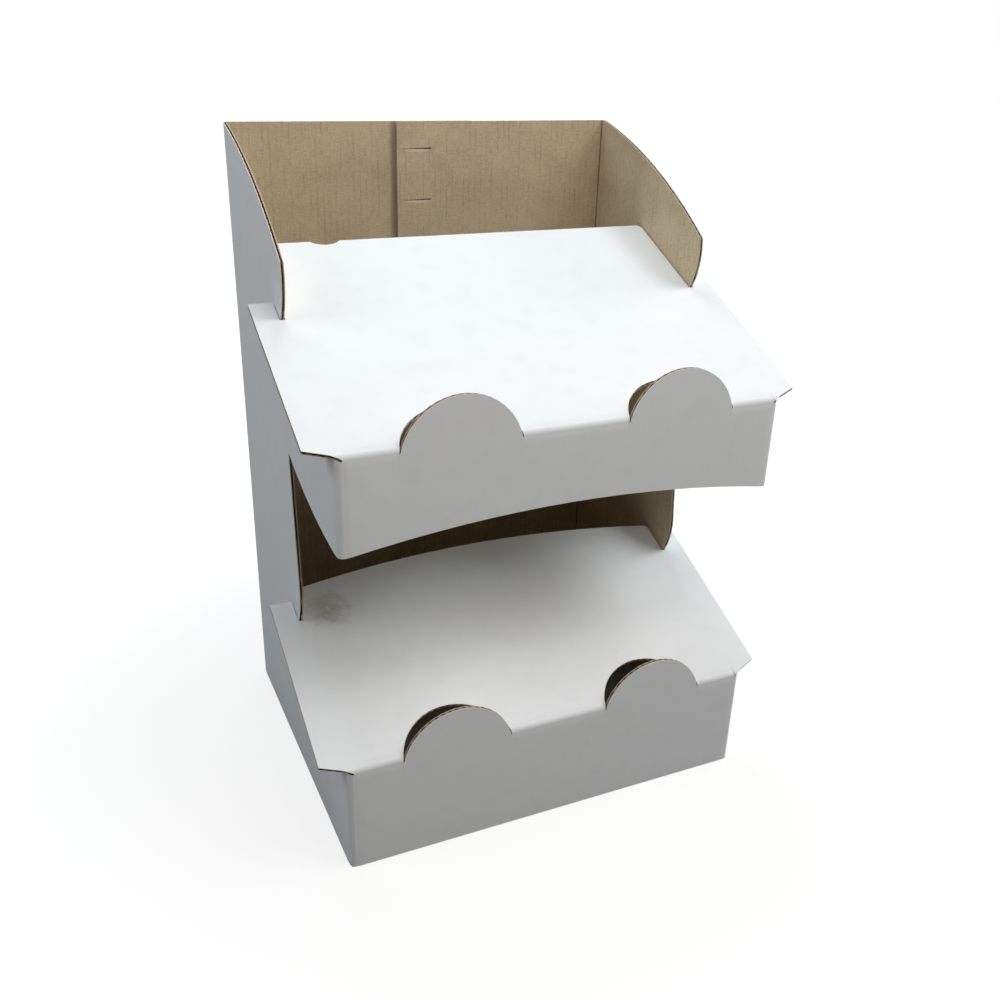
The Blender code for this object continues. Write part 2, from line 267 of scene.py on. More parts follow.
class StudioSettings(bpy.types.PropertyGroup):
    """Camera, lamps and floor."""

    camera_place: bpy.props.FloatVectorProperty(
        name="Camera Place", description="Where the camera stands", default=(-0.2029, -0.4471, 0.3542),
        size=3, subtype="TRANSLATION", unit="LENGTH",
    )
    camera_turn: bpy.props.FloatVectorProperty(
        name="Camera Turn", description="Tilt, roll and heading of the camera",
        default=(-0.4234, -0.0305, -0.4384), size=3, subtype="EULER", unit="ROTATION",
    )
    lens: bpy.props.FloatProperty(
        name="Lens", description="Focal length on a 36 mm sensor", default=37.03, min=10, unit="CAMERA"
    )
    sky: bpy.props.FloatProperty(
        name="Sky", description="Strength of the even light from all round", default=0.01, min=0
    )


def turned(offset, sweep, steps):
    """Offset (p, q) turned clockwise by t from 0 to sweep: (p cos t + q sin t, q cos t - p sin t)."""
    t = np.linspace(0, sweep, steps + 1)[:, None]
    p, q = offset
    return np.hstack([p * np.cos(t) + q * np.sin(t), q * np.cos(t) - p * np.sin(t)])


def bow(start, end, rise):
    """Arc from start to end, off its chord by rise to the left: radius (half^2 + rise^2) / (2 rise)."""
    start, end = np.array(start, float), np.array(end, float)
    chord = end - start
    half = np.hypot(*chord) / 2
    left = np.array([-chord[1], chord[0]]) / (2 * half)
    radius = (half * half + rise * rise) / (2 * rise)
    centre = (start + end) / 2 + left * (rise - radius)
    sweep = 2 * math.asin(half / abs(radius)) * math.copysign(1, radius)
    return centre + turned(start - centre, sweep, ARC_STEPS)


def rounded(before, corner, after, radius):
    """Fillet of a corner: an arc round the point radius / sin(half the corner's angle) along its bisector."""
    before, corner, after = (np.array(p, float) for p in (before, corner, after))
    back = (before - corner) / np.hypot(*(before - corner))
    on = (after - corner) / np.hypot(*(after - corner))
    half = math.acos(np.clip(back @ on, -1, 1)) / 2
    bisector = (back + on) / np.hypot(*(back + on))
    centre = corner + bisector * radius / math.sin(half)
    offset = corner + back * radius / math.tan(half) - centre
    way = math.copysign(1, back[1] * on[0] - back[0] * on[1])
    return centre + turned(offset, -way * (math.pi - 2 * half), ROUND_STEPS)


def mirrored(points):
    """The same points on the other side of the blank's middle line, in reverse order."""
    return np.array(points)[::-1] * (-1, 1)


class Blank:
    """The flat die-cut sheet: the sizes that follow from the stand's own, its knife lines and its folds."""

    def __init__(self, sizes, make):
        self.sizes = s = sizes
        self.board = make.board
        self.crush = make.crush
        self.crush_reach = make.crush_reach
        self.groove = make.groove
        self.width = CAD_SIZE.x - 2 * s.ear_width
        self.outer_radius = FOLD_RADIUS + self.board / 2
        self.front_half = self.width / 2 - self.outer_radius
        self.corner_arc = FOLD_RADIUS * math.pi / 2
        self.side_end = self.front_half + self.corner_arc + s.depth - 2 * self.outer_radius
        self.shelf_turn = math.pi / 2 - s.slope
        self.crease_arc = FOLD_RADIUS * self.shelf_turn
        self.setback = self.outer_radius * math.tan(self.shelf_turn / 2)
        self.ear_edge = self.width / 2 + s.ear_width
        self.slot_inner = self.width / 2 - self.board - CLEARANCE
        self.slot_outer = self.width / 2 + CLEARANCE
        lap_run = self.width / 2 - self.outer_radius - s.outer_lap - LAP_EASE
        self.lap_tilt = math.asin((self.board + GLUE_GAP) / lap_run)
        self.right_arc = FOLD_RADIUS * (math.pi / 2 + self.lap_tilt)
        self.lap_start = self.side_end + self.right_arc + lap_run
        self.lap_arc = LAP_BEND_RADIUS * self.lap_tilt
        self.right_end = self.lap_start + s.outer_lap + LAP_EASE - s.inner_lap
        self.left_end = self.side_end + self.corner_arc + self.front_half + s.outer_lap
        self.seam_u = s.outer_lap - s.inner_lap - self.left_end

    def side_u(self, depth):
        """Where a point of the right side panel, this far behind the front face, lies on the blank."""
        return self.front_half + self.corner_arc + depth - self.outer_radius

    def shelf_v(self, fold, along):
        """Height on the blank of a point this far along a shelf from the outer edge of its fold."""
        return fold - 2 * self.setback + self.crease_arc + along

    def seat_v(self, fold, depth):
        """Height of the side panel's sloped edge, which carries the shelf."""
        slope = self.sizes.slope
        return fold + depth * math.tan(slope) - (self.board + CLEARANCE) / math.cos(slope)

    def wing_tip(self, fold):
        """Tip of a wing where it comes through the shelf's top face, as (depth, height)."""
        slope = self.sizes.slope
        return self.sizes.wing_tip * math.cos(slope), fold + self.sizes.wing_tip * math.sin(slope)

    def seat_line(self, fold):
        """Right side panel's edge under a shelf, from the wing's tip down to the front corner."""
        depth, height = self.wing_tip(fold)
        inner = depth + (self.board + CLEARANCE) * math.sin(self.sizes.slope)
        return np.array([
            (self.side_u(depth), height),
            (self.side_u(inner), self.seat_v(fold, inner)),
            (self.side_u(self.outer_radius), self.seat_v(fold, self.outer_radius)),
            (self.front_half, fold - self.setback - CLEARANCE),
        ])

    def nose(self, fold):
        """Front edge of a wing: the foremost point of its nose, then the bow down to its tip."""
        depth, height = self.wing_tip(fold)
        front = (self.side_u(depth - NOSE_REACH), height + NOSE_RISE)
        return bow(front, (self.side_u(depth), height), -NOSE_BOW)

    def upper_wing(self):
        """Right wing above the upper shelf, from the back's top edge round the nose to the tip."""
        front = self.nose(self.sizes.upper_fold)
        brow = bow((self.side_end, self.sizes.height), front[0], -BROW_BOW)
        return np.vstack([brow[:-1], rounded(brow[-2], front[0], front[1], NOSE_ROUND), front[1:-1]])

    def shelf_half(self, fold, rear):
        """Right half of a shelf's outline, from the front corner round the ear to the rear edge."""
        ear = self.ear_edge
        ear_depth = ear - self.front_half - self.corner_arc + self.outer_radius
        ear_front = self.seat_v(fold, ear_depth) + KNIFE_GAP
        ear_rear = self.shelf_v(fold, self.sizes.ear_rear)
        slot_front = self.shelf_v(fold, self.sizes.wing_tip - CLEARANCE)
        inner, outer = self.slot_inner, self.slot_outer
        return np.vstack([
            [(self.front_half, fold - self.setback + KNIFE_GAP), (ear, ear_front)],
            rounded((ear, ear_front), (ear, ear_rear), (outer, ear_rear), EAR_ROUND),
            rounded((ear, ear_rear), (outer, ear_rear), (outer, slot_front), EAR_ROUND),
            [(outer, slot_front), (inner, slot_front)],
            rounded((inner, slot_front), (inner, rear), (0, rear), SHELF_ROUND),
        ])

    def outside(self):
        """Outside edge of the blank, anticlockwise from the left half's bottom corner."""
        rear = self.shelf_v(self.sizes.upper_fold, self.sizes.upper_shelf)
        fold, top = self.sizes.upper_fold, self.sizes.height
        right = np.vstack([self.upper_wing(), self.seat_line(fold), self.shelf_half(fold, rear)])
        nick = bow((NICK_START + NICK_WIDTH, rear), (NICK_START, rear), NICK_DEPTH)
        start = [(-self.left_end, 0), (self.right_end, 0), (self.right_end, top)]
        return np.vstack([start, right, nick, mirrored(right), [(-self.left_end, top)]])

    def opening(self):
        """Opening between the tiers, from which the lower shelf has been cut and folded back."""
        s, fold = self.sizes, self.sizes.lower_fold
        depth, _ = self.wing_tip(fold)
        front = self.nose(fold)
        notch = (self.side_u(depth + NOTCH_SETBACK), NOTCH_HEIGHT)
        corner = (self.side_u(self.outer_radius), s.front_bottom)
        turn = rounded(front[0], notch, corner, NOTCH_ROUND)
        tray = bow(turn[-1], corner, TRAY_BOW)[1:]
        right = np.vstack([self.seat_line(fold)[:0:-1], front[::-1], turn, tray])
        arch = bow((self.front_half, s.front_bottom), (-self.front_half, s.front_bottom), -s.arch_rise)
        flap = self.shelf_half(fold, self.shelf_v(fold, s.lower_shelf))
        rear = bow(flap[-1], flap[-1] * (-1, 1), -s.arch_rise)[1:-1]
        return np.vstack([right, arch, mirrored(right), mirrored(flap)[::-1], rear[::-1], flap[::-1]])

    def tab_cut(self, fold, middle):
        """Half-moon cut between a tab and its hole in the shelf: two arcs a knife gap apart."""
        centre = fold + self.sizes.tab_height - self.sizes.tab_radius
        sides = []
        for radius, way in ((self.sizes.tab_radius + KNIFE_GAP, 1), (self.sizes.tab_radius, -1)):
            start = math.asin((fold - self.setback - centre) / radius)
            a = np.linspace(start, math.pi - start, TAB_STEPS + 1)[::way]
            sides.append(np.column_stack([middle + radius * np.cos(a), centre + radius * np.sin(a)]))
        return np.vstack(sides)

    def slit(self, number):
        """One of the two header-card slits of the inner lap."""
        right, top = self.right_end - SLIT_FROM_EDGE, self.sizes.height - SLIT_TOP - number * SLIT_PITCH
        left, low = right - SLIT_LENGTH, top - SLIT_HEIGHT
        return np.array([(left, low), (right, low), (right, low + SLIT_TAPER * SLIT_HEIGHT), (left, top)])

    def outlines(self):
        """Every knife line of the blank, each a closed outline."""
        folds = (self.sizes.lower_fold, self.sizes.upper_fold)
        tabs = [self.tab_cut(fold, way * self.sizes.tab_offset) for fold in folds for way in (-1, 1)]
        return [self.outside(), self.opening(), *tabs, *map(self.slit, range(SLITS))]

    def bends(self):
        """Each upright fold as (start, arc length, way): the panels past start turn round it."""
        return [
            (self.front_half, self.corner_arc, 1), (-self.front_half, self.corner_arc, -1),
            (self.side_end, self.right_arc, 1), (-self.side_end, self.corner_arc, -1),
        ]

    def fold_levels(self):
        """Heights of the mesh lines in the two shelf folds and in the crushed bands beside them."""
        share = np.linspace(0, 1, CREASE_STEPS + 1) * self.crease_arc
        off = np.array(CRUSH_STEPS) * self.crush_reach
        steps = np.concatenate([-off[::-1], share, self.crease_arc + off])
        folds = np.array([self.sizes.lower_fold, self.sizes.upper_fold])
        return (folds[:, None] - self.setback + steps).ravel()

    def fold_lines(self):
        """Places of the mesh lines that let the upright folds bend."""
        share = np.linspace(0, 1, CORNER_STEPS + 1)
        lines = [start + way * arc * share for start, arc, way in self.bends()]
        lines.append(self.lap_start + self.lap_arc * share)
        return np.concatenate(lines)

    def pressed(self, u, v, w, shelves):
        """Height above mid-board where creases have crushed the board: w (1 - crush exp(-(d / reach)^2)), d
        being the distance from the fold's arc, and on the inner side that times 1 - groove
        exp(-(c / groove reach)^2), c being the distance from the arc's middle."""
        near, centre = np.full(len(u), np.inf), np.full(len(u), np.inf)
        for start, arc, way in self.bends():
            from_middle = np.where(shelves, np.inf, np.abs(u - start - way * arc / 2))
            near = np.minimum(near, np.maximum(from_middle - arc / 2, 0))
            centre = np.minimum(centre, from_middle)
        s = self.sizes
        clear_of_tab = np.abs(np.abs(u) - s.tab_offset) > s.tab_radius
        creased = (np.abs(u) < self.front_half) & clear_of_tab
        for fold in (s.lower_fold, s.upper_fold):
            from_middle = np.abs(v - fold + self.setback - self.crease_arc / 2)
            near = np.where(creased, np.minimum(near, np.maximum(from_middle - self.crease_arc / 2, 0)), near)
            centre = np.where(creased, np.minimum(centre, from_middle), centre)
        crushed = w * (1 - self.crush * np.exp(-(near / self.crush_reach) ** 2))
        return np.where(w < 0, crushed * (1 - self.groove * np.exp(-(centre / GROOVE_REACH) ** 2)), crushed)

    def on_shelf(self, u, v, fold, limit):
        """Which points of the blank belong to a shelf and its ears, and not to its tabs."""
        s, side = self.sizes, np.abs(u)
        depth = side - self.front_half - self.corner_arc + self.outer_radius
        found = (side < self.ear_edge + CLEARANCE) & (v < limit) & (v > fold - self.setback - CLEARANCE / 2)
        found &= v > self.seat_v(fold, depth) + KNIFE_GAP / 2
        reach = np.hypot(side - s.tab_offset, v - (fold + s.tab_height - s.tab_radius))
        return found & (reach > s.tab_radius + KNIFE_GAP / 2)

    def folded(self, u, v, w):
        """Where points of the flat board come to lie: (u, -w, v) rolled round each fold in turn."""
        s = self.sizes
        arch = s.arch_rise * (1 - (u / self.front_half) ** 2)
        between = (self.shelf_v(s.lower_fold, s.lower_shelf) + s.front_bottom) / 2 + arch
        lower = self.on_shelf(u, v, s.lower_fold, between)
        upper = self.on_shelf(u, v, s.upper_fold, np.inf)
        panels = ~(lower | upper)
        points = np.column_stack([u, -self.pressed(u, v, w, lower | upper), v])
        for fold, shelf in ((s.lower_fold, lower), (s.upper_fold, upper)):
            roll(points, shelf, fold - self.setback, 2, 1, self.shelf_turn, FOLD_RADIUS)
        roll(points, panels, self.lap_start, 0, 1, -self.lap_tilt, LAP_BEND_RADIUS)
        roll(points, panels, self.side_end, 0, 1, math.pi / 2 + self.lap_tilt, FOLD_RADIUS)
        roll(points, panels, -self.side_end, 0, -1, math.pi / 2, FOLD_RADIUS)
        for way in (-1, 1):
            roll(points, panels, way * self.front_half, 0, way, math.pi / 2, FOLD_RADIUS)
        points[:, 1] += (self.board - s.depth) / 2
        return points


def roll(points, moving, start, axis, way, angle, radius):
    """Rolls points round a fold from start on. A point s past it and h above mid-board goes to
    ((r - h) sin t + e cos t, r - (r - h) cos t + e sin t), with t = s / r up to the angle and e what is
    left of s."""
    side = math.copysign(1, angle)
    past = (points[:, axis] - start) * way
    moved = moving & (past > 0)
    s, h = past[moved], side * points[moved, 1]
    turn = np.clip(s / radius, 0, abs(angle))
    beyond = np.maximum(s - radius * abs(angle), 0)
    points[moved, axis] = start + way * ((radius - h) * np.sin(turn) + beyond * np.cos(turn))
    points[moved, 1] = side * (radius - (radius - h) * np.cos(turn) + beyond * np.sin(turn))


def snapped(outlines):
    """The outlines with places closer than SNAP made one, so that no mesh strip is thinner than that."""
    u = np.concatenate(outlines)[:, 0]
    order = np.sort(u)
    group = np.concatenate([[0], np.cumsum(np.diff(order) > SNAP)])
    middle = np.bincount(group, order) / np.bincount(group)
    spot = np.searchsorted(order, u)
    moved = np.split(middle[group[spot]], np.cumsum([len(o) for o in outlines])[:-1])
    return [np.column_stack([m, o[:, 1]]) for m, o in zip(moved, outlines)]


def cells(outlines, grid, folds, levels, reach):
    """Cuts the inside of closed outlines into trapezia between upright lines.

    In a strip between two lines the outline's edges, in order of height, bound the sheet in pairs. Each pair
    is one trapezium, cut again at the levels where |u| is below reach. Returns lines and (line, low left,
    high left, low right, high right) of each cell."""
    starts = np.concatenate(outlines)
    ends = np.concatenate([np.roll(o, -1, axis=0) for o in outlines])
    turn = (starts[:, 0] > ends[:, 0])[:, None]
    a, b = np.where(turn, ends, starts), np.where(turn, starts, ends)
    slanted = b[:, 0] - a[:, 0] > NEAR
    a, b = a[slanted], b[slanted]
    rise = (b[:, 1] - a[:, 1]) / (b[:, 0] - a[:, 0])

    edge, level = np.nonzero((a[:, 1:] - levels) * (b[:, 1:] - levels) < 0)
    crossing = a[edge, 0] + (levels[level] - a[edge, 1]) / rise[edge]
    needed = np.unique(np.concatenate([starts[:, 0], crossing[np.abs(crossing) < reach], [-reach, reach]]))
    extra = np.concatenate([folds, grid])
    extra = extra[(extra > needed[0]) & (extra < needed[-1])]
    spot = np.searchsorted(needed, extra)
    clear = np.minimum(extra - needed[spot - 1], needed[spot] - extra)
    spare = np.where(np.arange(len(extra)) < len(folds), SNAP, GRID_SPARE)
    lines = np.unique(np.concatenate([needed, extra[clear > spare]]))
    lines = lines[np.concatenate([[True], np.diff(lines) > NEAR])]

    middle = (lines[:-1] + lines[1:]) / 2
    crossed = (a[:, 0] < middle[:, None]) & (b[:, 0] > middle[:, None])
    height = np.where(crossed, a[:, 1] + rise * (middle[:, None] - a[:, 0]), np.inf)
    order = np.argsort(height, axis=1)
    pairs = crossed.sum(1) // 2
    strip, pair = np.nonzero(np.arange(pairs.max()) < pairs[:, None])
    low, high = order[strip, 2 * pair], order[strip, 2 * pair + 1]
    corners = [
        a[side, 1] + rise[side] * (lines[strip + step] - a[side, 0])
        for step in (0, 1) for side in (low, high)
    ]
    bands = np.concatenate([[-FAR], levels, [FAR]])
    cut = np.abs(middle[strip]) < reach
    lows = np.where(cut[:, None], bands[:-1], -FAR)
    highs = np.where(cut[:, None], bands[1:], FAR)
    highs[:, 1:][~cut] = -FAR
    corners = [np.maximum(np.minimum(c[:, None], highs), np.minimum(lows, highs)) for c in corners]
    tall = (corners[1] - corners[0] > NEAR) | (corners[3] - corners[2] > NEAR)
    row, band = np.nonzero(tall)
    return lines, strip[row], [c[row, band] for c in corners]


def sheet_faces(lines, strip, corners):
    """Joins the cells into one flat mesh: its points (u, v) and its faces, anticlockwise.

    Points on the same line that round to the same height are one. A point that lies on a neighbour's upright
    side goes into that face too, so that the faces meet edge to edge."""
    low_left, high_left, low_right, high_right = corners
    line = np.concatenate([strip, strip + 1, strip + 1, strip])
    height = np.concatenate([low_left, low_right, high_right, high_left])
    key = line * LINE_STRIDE + np.round(height * HEIGHT_STEPS).astype(np.int64)
    keys, first, index = np.unique(key, return_index=True, return_inverse=True)
    points = np.column_stack([lines[line[first]], height[first]])
    quads = index.reshape(4, -1).T
    faces = quads.tolist()
    right_gap = quads[:, 2] - quads[:, 1] > 1
    left_gap = quads[:, 3] - quads[:, 0] > 1
    for number in np.nonzero(right_gap | left_gap)[0]:
        a, b, c, d = faces[number]
        faces[number] = [a, b, *range(b + 1, c), c, d, *range(d - 1, a, -1)]
    short = (quads[:, 0] == quads[:, 3]) | (quads[:, 1] == quads[:, 2])
    for number in np.nonzero(short)[0]:
        faces[number] = list(dict.fromkeys(faces[number]))
    return points, faces


def rim_edges(faces, count):
    """Directed edges that only one face has, which are the sheet's outline."""
    start = np.concatenate(faces)
    end = np.concatenate([face[1:] + face[:1] for face in faces])
    alone = ~np.isin(start * count + end, end * count + start)
    return start[alone], end[alone]


def paper(name, blank, points, faces, upper, lower, finishes, marks):
    """A sheet of paper as a closed mesh between the heights upper and lower above mid-board, folded.

    finishes are its materials. marks says which of them the upper face, the lower face and the rim take."""
    count = len(points)
    u, v = np.tile(points, (2, 1)).T
    where = blank.folded(u, v, np.concatenate([upper, lower]))
    a, b = rim_edges(faces, count)
    rim = np.column_stack([b, a, a + count, b + count])
    under = [[i + count for i in reversed(face)] for face in faces]
    mesh = bpy.data.meshes.new(name)
    mesh.from_pydata(where.tolist(), [], faces + under + rim.tolist())
    mesh.polygons.foreach_set("material_index", np.repeat(marks, [len(faces), len(faces), len(rim)]))
    for finish in finishes:
        mesh.materials.append(finish)
    corner = np.zeros(len(mesh.loops), np.int32)
    mesh.loops.foreach_get("vertex_index", corner)
    flat = mesh.uv_layers.new(name=BLANK_MAP)
    flat.uv.foreach_set("vector", (np.column_stack([u, v])[corner] * MM).astype(np.float32).ravel())
    mesh.shade_smooth()
    mesh.set_sharp_from_angle(angle=SHARP_ANGLE)
    mesh.validate()
    return placed(name, mesh)


def placed(name, mesh):
    """A piece of the stand, riding with its one body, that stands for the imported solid."""
    piece = bpy.data.objects.new(name, mesh)
    bpy.context.scene.collection.objects.link(piece)
    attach(piece, "root")
    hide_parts(BOARD_NODE)
    return piece


def blank_sheet(scene):
    """The blank and its flat mesh, with lines close enough for the flutes."""
    make = scene.stand_board
    blank = Blank(scene.stand_sizes, make)
    step = make.pitch / make.lines_per_flute
    grid = np.arange(-math.ceil(blank.left_end / step), math.ceil(blank.right_end / step)) * step
    found = cells(snapped(blank.outlines()), grid, blank.fold_lines(), blank.fold_levels(),
                  blank.ear_edge + CLEARANCE)
    points, faces = sheet_faces(*found)
    wave = np.sin(2 * math.pi * points[:, 0] / make.pitch)
    return make, blank, points, faces, wave


def add(tree, kind, inputs=None, **settings):
    """Adds a shader node with its settings, gives its inputs their links or values, and returns its first
    output in use."""
    made = tree.nodes.new("ShaderNode" + kind)
    for name, value in settings.items():
        setattr(made, name, value)
    for name, value in (inputs or {}).items():
        if isinstance(value, bpy.types.NodeSocket):
            tree.links.new(value, made.inputs[name])
        else:
            made.inputs[name].default_value = value
    return next((socket for socket in made.outputs if socket.enabled), None)


def material(name, roughness):
    """A new paper material: its tree, its shader and the blank's place in millimetres."""
    made = bpy.data.materials.new(name)
    made.use_nodes = True
    tree = made.node_tree
    shader = tree.nodes["Principled BSDF"]
    shader.inputs["Roughness"].default_value = roughness
    shader.inputs["Specular IOR Level"].default_value = PAPER_SHINE
    return made, tree, shader, add(tree, "UVMap", uv_map=BLANK_MAP)


def rgba(colour_value):
    """A colour property as the four numbers of a shader socket."""
    return (*colour_value, 1.0)


def grain(tree, place, per_mm, detail):
    """Cloudy pattern with per_mm[0] grains to the millimetre across the flutes and per_mm[1] along them."""
    spread = add(tree, "Mapping", {"Vector": place, "Scale": (*per_mm, 1.0)})
    return add(tree, "TexNoise", {"Vector": spread, "Scale": 1.0, "Detail": detail})


def stain_and_shade_mask(tree, place, centre, radius):
    """How strongly a mark of stain and painted shade shows: 1 at its centre, 0 past its ragged rim."""
    away = add(tree, "VectorMath", {0: place, 1: (*centre, 0.0)}, operation="DISTANCE")
    # The rim is ragged by clouds of 6 mm
    rags = grain(tree, place, (0.16, 0.16), 4.0)
    ragged = add(tree, "Math", {0: rags, 1: 1.6 * radius, 2: away}, operation="MULTIPLY_ADD")
    return add(tree, "MapRange", {"Value": ragged, "From Min": 1.8 * radius, "From Max": 0.9 * radius},
               interpolation_type="SMOOTHSTEP")


def bleached_liner(colours):
    """Bleached, lightly coated kraft liner of the outer face: matt white, a little cloudy where its fibres
    lie thicker, with a stain on the lower shelf that is partly painted shade, and painted shade on the
    tray side beside the upper front-left corner."""
    made, tree, shader, place = material("bleached_coated_liner", 0.62)
    # Clouds of 11 mm
    clouds = grain(tree, place, (0.09, 0.09), 5.0)
    cloud = add(tree, "MapRange", {"Value": clouds, "From Min": 0.45, "From Max": 0.75, "To Max": 0.05},
                interpolation_type="SMOOTHSTEP")
    tone = add(tree, "Mix", {"Factor": cloud, "A": rgba(colours.white), "B": rgba(colours.smudge)},
               data_type="RGBA")
    # Clean specks of 3 mm in the stain and the painted shade
    specks = grain(tree, place, (0.35, 0.35), 2.0)
    speckled = add(tree, "MapRange", {"Value": specks, "From Min": 0.66, "From Max": 0.58},
                 interpolation_type="SMOOTHSTEP")
    # Each mark tints the white towards the stain colour: a stain that is partly painted shade, and painted
    # shade
    for centre, radius, strength in STAIN_AND_SHADE_MARKS:
        stain_and_shade_amount = stain_and_shade_mask(tree, place, centre, radius)
        stain_and_shade_amount = add(tree, "Math", {0: stain_and_shade_amount, 1: strength}, operation="MULTIPLY")
        stain_and_shade_amount = add(tree, "Math", {0: stain_and_shade_amount, 1: speckled}, operation="MULTIPLY")
        tone = add(tree, "Mix", {"Factor": stain_and_shade_amount, "A": tone, "B": rgba(colours.stain_and_shade)}, data_type="RGBA")
    tree.links.new(tone, shader.inputs["Base Color"])
    # The coating's tooth, drawn at 0.5 mm because the real one is too fine to show
    tooth = add(tree, "Bump", {"Height": grain(tree, place, (2.2, 2.2), 4.0), "Strength": 0.12,
                               "Distance": TOOTH_DEPTH})
    tree.links.new(tooth, shader.inputs["Normal"])
    return made


def kraft_liner(colours, make, blank):
    """Unbleached kraft liner of the inner face, made of brown pulp: matt and mottled, with fine fibres.

    The flutes show through it as broken dark lines, partly painted shade of its washboard. Painted shade
    lies in the inner corner of each upright fold and, as the lap edge's shadow, beside the lap; a painted
    highlight lies under each header slit, where its lip would catch the light."""
    made, tree, shader, place = material("unbleached_kraft_liner", 0.75)
    # Fibres of 4 mm along the flutes and 3 mm across them, specks of 0.8 mm and patches of 17 mm
    along, across = grain(tree, place, (1.5, 0.25), 3.0), grain(tree, place, (0.3, 1.3), 3.0)
    fibres = add(tree, "Math", {0: along, 1: across}, operation="ADD")
    specks = grain(tree, place, (1.2, 1.2), 3.0)
    mottle = add(tree, "Math", {0: specks, 1: 1.1, 2: fibres}, operation="MULTIPLY_ADD")
    patches = grain(tree, place, (0.06, 0.06), 4.0)
    tone = add(tree, "Math", {0: patches, 1: 0.9, 2: mottle}, operation="MULTIPLY_ADD")
    # The flute lines are partly painted shade of the washboard between the flute tips
    tone = add(tree, "Math", {0: tone, 1: flute_lines(tree, place, make.pitch * MM)}, operation="ADD")
    amount = add(tree, "MapRange", {"Value": tone, "From Min": 1.45, "From Max": 2.8},
                 interpolation_type="SMOOTHSTEP")
    paper_tone = add(tree, "Mix", {"Factor": amount, "A": rgba(colours.kraft), "B": rgba(colours.kraft_dark)},
                     data_type="RGBA")
    # Painted highlight under each slit, in the colour of the cut kraft edge
    for number in range(SLITS):
        slit_highlight_amount = slit_highlight(tree, place, blank.slit(number))
        paper_tone = add(tree, "Mix", {"Factor": slit_highlight_amount, "A": paper_tone, "B": rgba(colours.cut_kraft)},
                         data_type="RGBA")
    # Painted shade in the inner corner of each upright fold and painted shadow beside the lap's edge
    pressed = painted_fold_and_lap_shade(tree, place, blank)
    paper_tone = add(tree, "Mix", {"Factor": pressed, "A": paper_tone, "B": rgba(colours.painted_shade)},
                     data_type="RGBA")
    tree.links.new(paper_tone, shader.inputs["Base Color"])
    tooth = add(tree, "Bump", {"Height": mottle, "Strength": 0.15, "Distance": TOOTH_DEPTH})
    tree.links.new(tooth, shader.inputs["Normal"])
    return made


def flute_lines(tree, place, pitch):
    """Broken dark lines one flute apart, partly the flutes showing through and partly painted shade of the
    washboard: ((1 + sin(2 pi u / pitch)) / 2) to the power 8, times streaks of 4 by 17 mm."""
    turn = add(tree, "Math", {0: add(tree, "SeparateXYZ", {0: place}), 1: 2 * math.pi / pitch},
               operation="MULTIPLY")
    wave = add(tree, "Math", {0: turn}, operation="SINE")
    wave = add(tree, "Math", {0: wave, 1: 0.5, 2: 0.5}, operation="MULTIPLY_ADD")
    lines = add(tree, "Math", {0: wave, 1: 8.0}, operation="POWER")
    streaks = grain(tree, place, (0.25, 0.06), 3.0)
    broken = add(tree, "MapRange", {"Value": streaks, "From Min": 0.42, "From Max": 0.62, "To Max": 0.38},
                 interpolation_type="SMOOTHSTEP")
    return add(tree, "Math", {0: lines, 1: broken}, operation="MULTIPLY")


def slit_highlight(tree, place, slit):
    """How strongly the painted highlight under a slit, where its lip would catch the light, shows: full in
    the middle of an ellipse as long as the slit, 0 outside it."""
    (left, low), (right, _) = slit[:2] * MM
    middle, reach = ((left + right) / 2, low - SLIT_HIGHLIGHT_DROP, 0), ((right - left) / 2, SLIT_HIGHLIGHT_REACH, 1)
    off = add(tree, "VectorMath", {0: place, 1: middle}, operation="SUBTRACT")
    share = add(tree, "VectorMath", {0: off, 1: reach}, operation="DIVIDE")
    away = add(tree, "VectorMath", {0: share}, operation="LENGTH")
    return add(tree, "MapRange", {"Value": away, "From Min": 1.0, "From Max": 0.5, "To Max": SLIT_HIGHLIGHT_STRENGTH},
               interpolation_type="SMOOTHSTEP")


def painted_fold_and_lap_shade(tree, place, blank):
    """How much painted shade the inner liner gets in the inner corner of each upright fold, and how much
    painted shadow of the lap's edge beside the upper part of the lap."""
    across = add(tree, "SeparateXYZ", {0: place})
    up = across.node.outputs["Y"]
    # Painted shadow of the lap's edge, only on the upper part of the back
    lap_shadow_height_mask = add(tree, "MapRange", {"Value": up, "From Min": LAP_SHADOW_HEIGHTS[0], "From Max": LAP_SHADOW_HEIGHTS[1]},
                interpolation_type="SMOOTHSTEP")
    lap_shadow = beside(tree, across, blank.seam_u * MM, *LAP_SHADOW_BAND)
    dark = add(tree, "Math", {0: lap_shadow_height_mask, 1: lap_shadow}, operation="MULTIPLY")
    # Painted shade in the inner corner of each upright fold
    for start, arc, way in blank.bends():
        painted_shade = beside(tree, across, (start + way * arc / 2) * MM, *FOLD_SHADE_BAND)
        dark = add(tree, "Math", {0: dark, 1: painted_shade}, operation="MAXIMUM")
    return dark


def beside(tree, across, middle, inner, outer, strength):
    """A band along an upright line: full strength up to inner millimetres off the line, 0 from outer on."""
    off = add(tree, "Math", {0: across, 1: middle}, operation="SUBTRACT")
    off = add(tree, "Math", {0: off}, operation="ABSOLUTE")
    return add(tree, "MapRange", {"Value": off, "From Min": outer, "From Max": inner, "To Max": strength},
               interpolation_type="SMOOTHSTEP")


def plain_paper(name, colour_value, roughness):
    """Uncoated paper, darker in the hollows of its tooth, which is drawn at 0.3 mm so that it shows."""
    made, tree, shader, place = material(name, roughness)
    hollow = tuple(HOLLOW_SHADE * c for c in colour_value)
    tone = add(tree, "Mix", {"Factor": grain(tree, place, (3.0, 3.0), 3.0), "A": rgba(hollow),
                             "B": rgba(colour_value)}, data_type="RGBA")
    tree.links.new(tone, shader.inputs["Base Color"])
    return made


